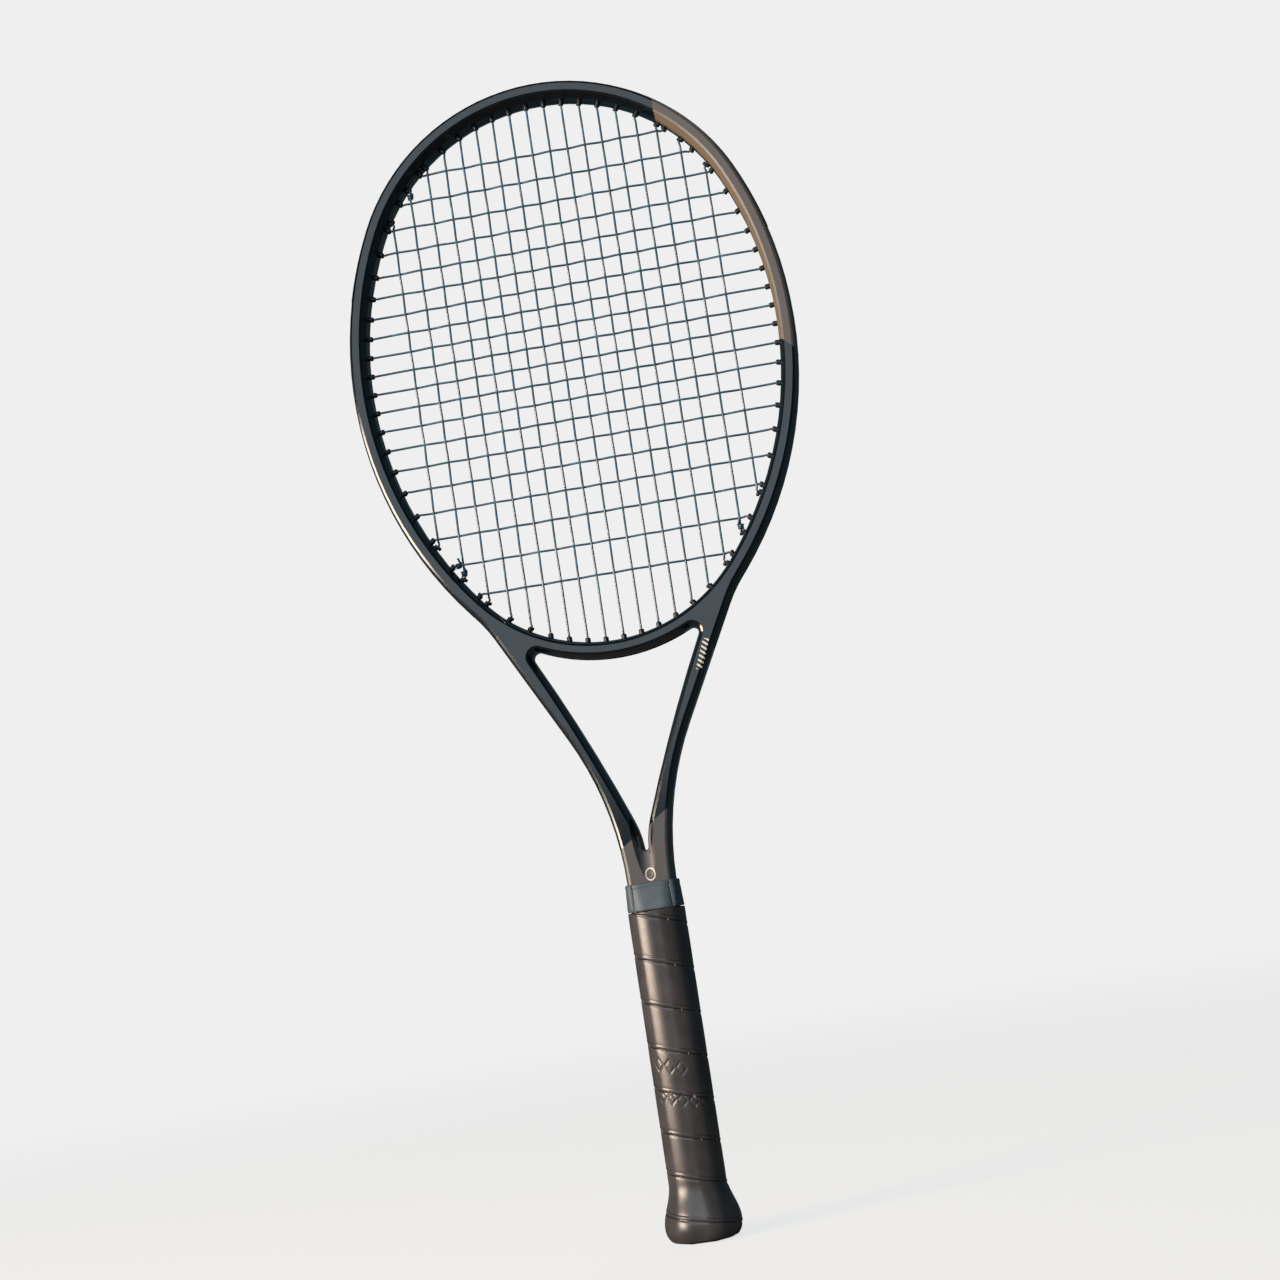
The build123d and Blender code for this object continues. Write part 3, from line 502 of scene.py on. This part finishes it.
def stringTree():
    tree, given = startTree("stringAlongRoute", {"Radius": "NodeSocketFloat", "Step": "NodeSocketFloat",
                                                 "Sides": "NodeSocketInt"})
    line = addNode(tree, "GeometryNodeMeshToCurve", inputs={"Mesh": given.outputs["Geometry"]})
    smooth = addNode(tree, "GeometryNodeCurveSplineType", {"spline_type": "CATMULL_ROM"},
                     {"Curve": line.outputs[0]})
    fine = addNode(tree, "GeometryNodeSetSplineResolution",
                   inputs={"Geometry": smooth.outputs[0], "Resolution": 12})
    even = addNode(tree, "GeometryNodeResampleCurve", {"mode": "LENGTH"},
                   {"Curve": fine.outputs[0], "Length": given.outputs["Step"]})
    section = addNode(tree, "GeometryNodeCurvePrimitiveCircle", {"mode": "RADIUS"},
                      {"Resolution": given.outputs["Sides"], "Radius": given.outputs["Radius"]})
    tube = addNode(tree, "GeometryNodeCurveToMesh",
                   inputs={"Curve": even.outputs[0], "Profile Curve": section.outputs[0],
                           "Fill Caps": True})
    shaded = addNode(tree, "GeometryNodeSetShadeSmooth", inputs={"Geometry": tube.outputs[0]})
    endTree(tree, shaded.outputs[0], stringSkin)
    return tree


def pathHost(name, points):
    mesh = bpy.data.meshes.new(name)
    mesh.from_pydata(points, [(k, k + 1) for k in range(len(points) - 1)], [])
    return bpy.data.objects.new(name, mesh)


mainString = {"laneOut": 9.29, "bridgeLane": 8.89, "side": -1.45, "endShort": 2.0}


def mainEnd(k, up, inset):  # a point inset from the rim at one end of a main, and its outward direction
    x = allMainXs[k]
    hand = 1 if x > 0 else -1
    if up < 0 and bed["mains"] - bed["bridgeMains"] <= k < bed["mains"] + bed["bridgeMains"]:
        z = lowCentre - math.sqrt(hoop["lowRadius"] ** 2 - x ** 2) + inset
        return Vector((x, 0, z)), Vector((0, 0, -1))
    z, way = rimAtWidth(abs(x), -inset, up)
    return Vector((x, 0, z)), flipped(way, hand)


def mainLane(k, up):  # round the outside from one main to the next
    points = []
    first, second = mainEnd(k, up, bed["mouthInset"]), mainEnd(k + 1, up, bed["mouthInset"])
    bridged = second[1].x == 0 and up < 0
    out = mainString["bridgeLane"] if bridged else mainString["laneOut"]
    corner = out - crossString["cornerIn"] + bed["mouthInset"]
    points.append(first[0] + first[1] * corner)
    for share in (0.3, 0.5, 0.7):
        x = first[0].x + (second[0].x - first[0].x) * share
        if bridged:
            z = lowCentre - math.sqrt((hoop["lowRadius"] + out) ** 2 - x ** 2)
        else:
            z = rimAtWidth(abs(x), out, up)[0]
        points.append(Vector((x, mainString["side"], z)))
    points.append(second[0] + second[1] * corner)
    return points


def mainRoute():
    route = []
    last = 2 * bed["mains"] - 1
    endReach = bed["mouthInset"] + mainString["laneOut"] - mainString["endShort"]
    for k in range(last + 1):
        up = 1 if k % 2 == 0 else -1
        begin, end = mainEnd(k, -up, bed["mouthInset"]), mainEnd(k, up, bed["mouthInset"])
        if k == 0:
            route.append(begin[0] + begin[1] * endReach)
        low, high = sorted((begin[0].z, end[0].z))
        crossed = [(z, j) for j,
                   z in enumerate(crossZs) if low + crossString["clear"] < z < high - crossString["clear"]]
        woven = [Vector((begin[0].x, -crossString["lift"] * (-1) ** (j + k), z)) for z, j in crossed]
        inward = Vector((0, 0, up * crossString["straight"]))
        route += [begin[0], begin[0] + inward] + woven[::-up] + [end[0] - inward, end[0]]
        if k < last:
            route += mainLane(k, up)
        else:
            route.append(end[0] + end[1] * endReach)
    return [p * mm for p in route]


stringRun = {"Radius": crossString["diameter"] / 2 * mm, "Step": crossString["step"] * mm,
             "Sides": crossString["sides"]}
for name, node, route in (("wovenCross", "cross_string", crossRoute()),
                          ("wovenMain", "main_string", mainRoute())):
    woven = growPiece(name, pathHost(name + "Route", route), stringTree(), stringRun)
    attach(woven, "racket")
    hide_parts(node)


# Grommet lips: a rounded collar round each string where it comes through the hoop.
lips = {"radius": 1.62, "hole": 0.86, "length": 0.95, "sides": 14}


def lipPlaces():
    inset = bed["nub"]
    places = []
    for i, x in enumerate(mainXs):
        for up in (1, -1):
            z, way = rimAtWidth(x, -inset, up)
            if up < 0 and i < bed["bridgeMains"]:
                z = lowCentre - math.sqrt(hoop["lowRadius"] ** 2 - x ** 2) + inset
                way = Vector((0, 0, -1))
            places.append((Vector((x, 0, z)), way))
    for z in crossZs:
        x, way = rimAtHeight(z, -inset)
        places.append((Vector((x, 0, z)), way))
    places += [(flipped(p, -1), flipped(w, -1)) for p, w in places]
    return places


def lipHost():
    places = lipPlaces()
    mesh = bpy.data.meshes.new("lipPlaces")
    mesh.from_pydata([p * mm for p, w in places], [], [])
    ways = mesh.attributes.new("way", "FLOAT_VECTOR", "POINT")
    for k, (p, w) in enumerate(places):
        ways.data[k].vector = w
    return bpy.data.objects.new("lipPlaces", mesh)


def lipTree():
    tree, given = startTree("grommetLip", {"Radius": "NodeSocketFloat", "Hole": "NodeSocketFloat",
                                           "Length": "NodeSocketFloat", "Sides": "NodeSocketInt"})
    spine = addNode(tree, "GeometryNodeCurvePrimitiveCircle", {"mode": "RADIUS"},
                    {"Resolution": given.outputs["Sides"]})
    middle = calc(tree, "MULTIPLY", calc(tree, "ADD", given.outputs["Radius"], given.outputs["Hole"]), 0.5)
    tree.links.new(middle, spine.inputs["Radius"])
    halfWidth = calc(tree, "MULTIPLY", calc(tree, "SUBTRACT", given.outputs["Radius"],
                                            given.outputs["Hole"]), 0.5)
    bead = addNode(tree, "GeometryNodeCurvePrimitiveCircle", {"mode": "RADIUS"},
                   {"Resolution": 8, "Radius": 1.0})
    stretch = addNode(tree, "ShaderNodeCombineXYZ", inputs={0: halfWidth, 1: given.outputs["Length"],
                                                            2: 1.0})
    oval = addNode(tree, "GeometryNodeTransform",
                   inputs={"Geometry": bead.outputs[0], "Scale": stretch.outputs[0]})
    ring = addNode(tree, "GeometryNodeCurveToMesh",
                   inputs={"Curve": spine.outputs[0], "Profile Curve": oval.outputs[0]})
    shaded = addNode(tree, "GeometryNodeSetShadeSmooth", inputs={"Geometry": ring.outputs[0]})
    way = addNode(tree, "GeometryNodeInputNamedAttribute", {"data_type": "FLOAT_VECTOR"}, {"Name": "way"})
    turned = addNode(tree, "FunctionNodeAlignRotationToVector", {"axis": "Z"}, {"Vector": way.outputs[0]})
    spots = addNode(tree, "GeometryNodeMeshToPoints", inputs={"Mesh": given.outputs["Geometry"]})
    rings = addNode(tree, "GeometryNodeInstanceOnPoints",
                    inputs={"Points": spots.outputs[0], "Instance": shaded.outputs[0],
                            "Rotation": turned.outputs[0]})
    endTree(tree, rings.outputs[0], nylon)
    return tree


grommetLips = growPiece("grommetLips", lipHost(), lipTree(),
                        {"Radius": lips["radius"] * mm, "Hole": lips["hole"] * mm,
                         "Length": lips["length"] * mm,
                         "Sides": lips["sides"]})
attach(grommetLips, "racket")


# Grip: a leather strip wound up the handle, so each turn laps the one below. The sleeve
# below follows the handle's rule, and the tree presses the seams and the stamp into it.
wrap = {"width": 30.2, "depth": 26.6, "corner": 7.6, "skin": 1.5, "flare": 5.4, "flarePeak": 9.0,
        "flareTop": 33.0, "buttRound": 6.5, "edgeSoft": 5.5, "rowStep": 0.45, "columns": 210, "inner": 1.35,
        "firstSeam": 12.6, "turnRise": 22.4, "turnGrowth": 0.27, "seamHeight": 0.42, "stampDepth": 0.36}
wrapLow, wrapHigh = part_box("grip")[0].z / mm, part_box("grip")[1].z / mm


def flareAt(z):  # how far the butt's flare stands out at height z
    if z >= wrap["flareTop"]:
        return 0.0
    if z >= wrap["flarePeak"]:
        share = (wrap["flareTop"] - z) / (wrap["flareTop"] - wrap["flarePeak"])
        return wrap["flare"] * (1 - math.cos(math.pi * share)) / 2
    share = min((wrap["flarePeak"] - z) / wrap["flarePeak"], 1)
    return wrap["flare"] - wrap["buttRound"] * (1 - math.sqrt(1 - share ** 2))


def softLeast(first, second, soft):
    h = max(soft - abs(first - second), 0) / soft
    return min(first, second) - h * h * soft / 4


def onRing(angle, radius, z):  # angles run from the front, about the handle
    return radius * math.sin(angle) * mm, -radius * math.cos(angle) * mm, z * mm


def octagonRadius(angle, halfX, halfY, corner, soft):  # how far a rounded octagon reaches at an angle
    c, s = abs(math.sin(angle)), abs(math.cos(angle))
    bevel = (halfX + halfY - corner) / (c + s)
    return softLeast(softLeast(halfX / max(c, 0.02), halfY / max(s, 0.02), soft), bevel, soft)


def wrapRadius(angle, out):  # out from the straight handle
    return octagonRadius(angle, wrap["width"] / 2 + out, wrap["depth"] / 2 + out,
                         wrap["corner"] + 0.6 * out,
                         wrap["edgeSoft"])


def turnAt(z):  # turns of the strip counted up from the first seam
    a, b = wrap["turnGrowth"], wrap["turnRise"]
    return (-b + math.sqrt(b * b + 4 * a * (z - wrap["firstSeam"]))) / (2 * a)


stamp = {"slope": -0.23, "line": 0.7,
         "rows": [{"middle": (-4.8, 99.0), "pitch": 7.4, "count": 3, "half": (3.2, 3.7)},
                  {"middle": (0.4, 79.6), "pitch": 7.0, "count": 5, "half": (3.0, 3.3)}]}


def stampAt(around, z):  # 1 in the pressed outlines of the lozenges
    deepest = 0.0
    for row in stamp["rows"]:
        u = around - row["middle"][0]
        w = z - row["middle"][1] - stamp["slope"] * u
        if abs(w) > row["half"][1] + 1 or abs(u) > row["pitch"] * row["count"] / 2:
            continue
        cell = u / row["pitch"] + row["count"] / 2
        u = (cell - math.floor(cell) - 0.5) * row["pitch"]
        size = abs(u) / row["half"][0] + abs(w) / row["half"][1]
        away = abs(size - 1) * row["half"][0] * 0.75
        deepest = max(deepest, 1 - min(away / stamp["line"], 1) ** 2)
    return deepest


def sleeveFaces(levels, count):  # quads between rings, the last ring joined to the first
    faces = []
    for r in range(levels):
        above = (r + 1) % levels
        for k in range(count):
            after = (k + 1) % count
            faces.append((r * count + k, r * count + after, above * count + after, above * count + k))
    return faces


def wrapHost():
    rows = math.ceil((wrapHigh - wrapLow) / wrap["rowStep"])
    levels = [(wrapLow + (wrapHigh - wrapLow) * k / rows, True) for k in range(rows + 1)]
    levels += [(wrapHigh - (wrapHigh - wrapLow) * k / 30, False) for k in range(31)]
    count = wrap["columns"]
    places, turns, skins, stamps = [], [], [], []
    for z, outer in levels:
        out = flareAt(z) + (wrap["skin"] - wrap["seamHeight"] if outer else wrap["skin"] - wrap["inner"])
        edge = min(wrapHigh - z, z - wrapLow)
        if outer and edge < 0.6:
            out -= 0.2 * (1 - edge / 0.6) ** 2
        for column in range(count):
            angle = 2 * math.pi * column / count
            if angle > math.pi:
                angle -= 2 * math.pi
            radius = wrapRadius(angle, out)
            places.append(onRing(angle, radius, z))
            turns.append(turnAt(z) + angle / (2 * math.pi) + 2)
            skins.append(min(1.0, edge / 0.5) if outer else 0.0)
            near = outer and abs(angle) < 1.3
            stamps.append(stampAt(angle * wrap["width"] * 0.55, z) if near else 0.0)
    mesh = bpy.data.meshes.new("wrapSleeve")
    mesh.from_pydata(places, [], sleeveFaces(len(levels), count))
    for label, values in (("turn", turns), ("skin", skins), ("stamp", stamps)):
        mesh.attributes.new(label, "FLOAT", "POINT").data.foreach_set("value", values)
    return bpy.data.objects.new("wrapSleeve", mesh)


# Height of the leather across one turn, from the seam's groove over the lapped edge.
lapProfile = [(0.0, 0.0), (0.02, 0.15), (0.045, 0.8), (0.065, 1.0), (0.09, 0.9), (0.11, 0.55),
              (0.135, 0.72),
              (0.3, 0.82), (0.7, 0.82), (0.95, 0.7), (0.98, 0.25), (1.0, 0.0)]


def wrapTree():
    tree, given = startTree("leatherWrap",
                            {"Seam Height": "NodeSocketFloat", "Stamp Depth": "NodeSocketFloat"})
    read = {}
    for label in ("turn", "skin", "stamp"):
        read[label] = addNode(tree, "GeometryNodeInputNamedAttribute", {"data_type": "FLOAT"},
                              {"Name": label}).outputs[0]
    lap = addNode(tree, "ShaderNodeFloatCurve", inputs={"Value": calc(tree, "FRACT", read["turn"])})
    curve = lap.mapping.curves[0]
    curve.points[0].location = lapProfile[0]
    curve.points[1].location = lapProfile[-1]
    for spot in lapProfile[1:-1]:
        curve.points.new(*spot)
    lap.mapping.update()
    raised = calc(tree, "MULTIPLY", lap.outputs[0], given.outputs["Seam Height"])
    pressed = calc(tree, "MULTIPLY", read["stamp"], given.outputs["Stamp Depth"])
    shown = calc(tree, "MULTIPLY", calc(tree, "SUBTRACT", raised, pressed), read["skin"])
    normal = addNode(tree, "GeometryNodeInputNormal")
    shift = addNode(tree, "ShaderNodeVectorMath", {"operation": "SCALE"},
                    {0: normal.outputs[0], "Scale": shown})
    moved = addNode(tree, "GeometryNodeSetPosition", inputs={"Geometry": given.outputs["Geometry"],
                                                             "Offset": shift.outputs[0]})
    shaded = addNode(tree, "GeometryNodeSetShadeSmooth", inputs={"Geometry": moved.outputs[0]})
    endTree(tree, shaded.outputs[0], leather)
    return tree


gripWrap = growPiece("gripWrap", wrapHost(), wrapTree(),
                     {"Seam Height": wrap["seamHeight"] * mm, "Stamp Depth": wrap["stampDepth"] * mm})
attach(gripWrap, "racket")
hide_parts("grip")


# Collar: a soft sleeve with a rolled edge, its sections given as height, half sizes and corner.
sleeve = {"columns": 144, "soft": 3.4, "hole": (14.25, 11.85), "holeCorner": 1.6,
          "sections": [(-0.15, 15.9, 14.1, 7.3), (0.25, 16.2, 14.4, 7.6), (1.2, 16.25, 14.45, 7.7),
                       (5.0, 15.95, 13.9, 7.0),
                       (9.5, 15.75, 13.35, 6.2), (12.2, 15.6, 13.1, 5.6), (12.7, 15.35, 12.85, 5.4),
                       (13.1, 15.6, 13.1, 5.4), (14.8, 15.55, 13.05, 5.3), (15.35, 15.35, 12.85, 5.1),
                       (15.6, 14.9, 12.4, 4.6)]}


def sleeveHost():
    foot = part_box("collar")[0].z / mm
    holeX, holeY = sleeve["hole"]
    levels = [(foot + z + 0.05, x, y, corner, sleeve["soft"]) for z, x, y, corner in sleeve["sections"]]
    levels += [(foot + 15.6 - 15.5 * k / 6, holeX, holeY, sleeve["holeCorner"], 1.2) for k in range(7)]
    count = sleeve["columns"]
    places = []
    for z, halfX, halfY, corner, soft in levels:
        for column in range(count):
            angle = 2 * math.pi * column / count
            radius = octagonRadius(angle, halfX, halfY, corner, soft)
            places.append(onRing(angle, radius, z))
    mesh = bpy.data.meshes.new("sleeveRings")
    mesh.from_pydata(places, [], sleeveFaces(len(levels), count))
    return bpy.data.objects.new("sleeveRings", mesh)


def sleeveTree():
    tree, given = startTree("rubberSleeve", {"Levels": "NodeSocketInt"})
    finer = addNode(tree, "GeometryNodeSubdivisionSurface", inputs={"Mesh": given.outputs["Geometry"],
                                                                    "Level": given.outputs["Levels"]})
    shaded = addNode(tree, "GeometryNodeSetShadeSmooth", inputs={"Geometry": finer.outputs[0]})
    endTree(tree, shaded.outputs[0], rubber)
    return tree


collarSleeve = growPiece("collarSleeve", sleeveHost(), sleeveTree(), {"Levels": 1})
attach(collarSleeve, "collar")
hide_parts("collar")


# Knots: each string end tied off in a short coil about the main beside it, with its cut tail.
knot = {"radius": 1.32, "pitch": 1.05, "turns": 2.6, "points": 26, "swell": 0.12, "tail": 3.2,
        "tailWay": (0.3, -0.35, 0.85), "step": 0.45, "sides": 10}


def knotRoute(name, side):
    low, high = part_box(name)
    middle = (low + high) / 2 / mm
    points = []
    for k in range(knot["points"] + 1):
        share = k / knot["points"]
        angle = 2 * math.pi * knot["turns"] * share
        swell = knot["radius"] * (1 + knot["swell"] * math.sin(angle * 1.7))
        points.append(Vector((swell * math.cos(angle) * side, swell * math.sin(angle),
                              knot["pitch"] * (share - 0.5) * knot["turns"])))
    last = points[-1]
    tail = flipped(Vector(knot["tailWay"]), side) * knot["tail"]
    for reach in (0.35, 0.7, 1.0):
        points.append(last + tail * reach)
    return [(middle + p) * mm for p in points]


for name, side in (("knot_low_left", -1), ("knot_low_right", 1), ("knot_high_left", -1),
                   ("knot_cross_left", -1)):
    tied = growPiece("tied_" + name, pathHost("route_" + name, knotRoute(name, side)), stringTree(),
                     {"Radius": crossString["diameter"] / 2 * mm, "Step": knot["step"] * mm,
                      "Sides": knot["sides"]})
    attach(tied, "racket")
    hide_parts(name)


# Floor and light
studio = {"floorRadius": 2.6, "backdrop": "#EFEFEF", "fill": "#5E7C88", "fillStrength": 0.36,
          "floorGlow": 0.86}


def makeFloor():
    sides = 64
    rim = [(studio["floorRadius"] * math.cos(2 * math.pi * k / sides),
            studio["floorRadius"] * math.sin(2 * math.pi * k / sides), -0.0002) for k in range(sides)]
    mesh = bpy.data.meshes.new("floor")
    mesh.from_pydata(rim, [], [tuple(range(sides))])
    floor = bpy.data.objects.new("floor", mesh)
    scene.collection.objects.link(floor)
    material, tree = startMaterial("paleFloor")
    place = addNode(tree, "ShaderNodeTexCoord").outputs["Object"]
    reach = addNode(tree, "ShaderNodeVectorMath", {"operation": "LENGTH"}, {0: place}).outputs["Value"]
    fade = ramp(tree, reach, 0.5, studio["floorRadius"] - 0.1)
    seenFrom = addNode(tree, "ShaderNodeLightPath").outputs["Is Camera Ray"]
    glow = calc(tree, "MULTIPLY", seenFrom, studio["floorGlow"])
    board = addNode(tree, "ShaderNodeBsdfPrincipled",
                    inputs={"Base Color": linear("#7C7670"), "Roughness": 0.9, "Specular IOR Level": 0.0,
                            "Emission Color": linear(studio["backdrop"]), "Emission Strength": glow})
    clear = addNode(tree, "ShaderNodeBsdfTransparent")
    mixed = addNode(tree, "ShaderNodeMixShader", inputs={0: fade, 1: board.outputs[0], 2: clear.outputs[0]})
    endMaterial(tree, mixed)
    mesh.materials.append(material)
    return floor


makeFloor()

world = bpy.data.worlds.new("studioWorld")
scene.world = world
world.use_nodes = True
world.node_tree.nodes.clear()
seen = addNode(world.node_tree, "ShaderNodeBackground", inputs={0: linear(studio["backdrop"]), 1: 1.0})
felt = addNode(world.node_tree, "ShaderNodeBackground",
               inputs={0: linear(studio["fill"]), 1: studio["fillStrength"]})
rayKind = addNode(world.node_tree, "ShaderNodeLightPath")
mixedSky = addNode(world.node_tree, "ShaderNodeMixShader",
                   inputs={0: rayKind.outputs["Is Camera Ray"], 1: felt.outputs[0], 2: seen.outputs[0]})
addNode(world.node_tree, "ShaderNodeOutputWorld", inputs={0: mixedSky.outputs[0]})

lamps = [{"name": "keyPanel", "place": (-1.6, -1.25, 0.42), "aim": (0, 0, 0.12), "size": 0.8, "power": 70,
          "tint": "#FFE8D2"},
         {"name": "frontCard", "place": (-0.5, -2.3, 1.3), "aim": (0, 0, 0.4), "size": 1.9, "power": 28,
          "tint": "#D6E8F5"},
         {"name": "backPanel", "place": (0.2, 1.3, 2.6), "aim": (0, 0, 0.35), "size": 1.6, "power": 12,
          "tint": "#DDEBF5"}]
for lamp in lamps:
    data = bpy.data.lights.new(lamp["name"], "AREA")
    data.size = lamp["size"]
    data.energy = lamp["power"]
    data.color = linear(lamp["tint"])[:3]
    light = bpy.data.objects.new(lamp["name"], data)
    scene.collection.objects.link(light)
    light.location = lamp["place"]
    light.rotation_euler = (Vector(lamp["aim"]) - light.location).to_track_quat("-Z", "Y").to_euler()

print("scene done")
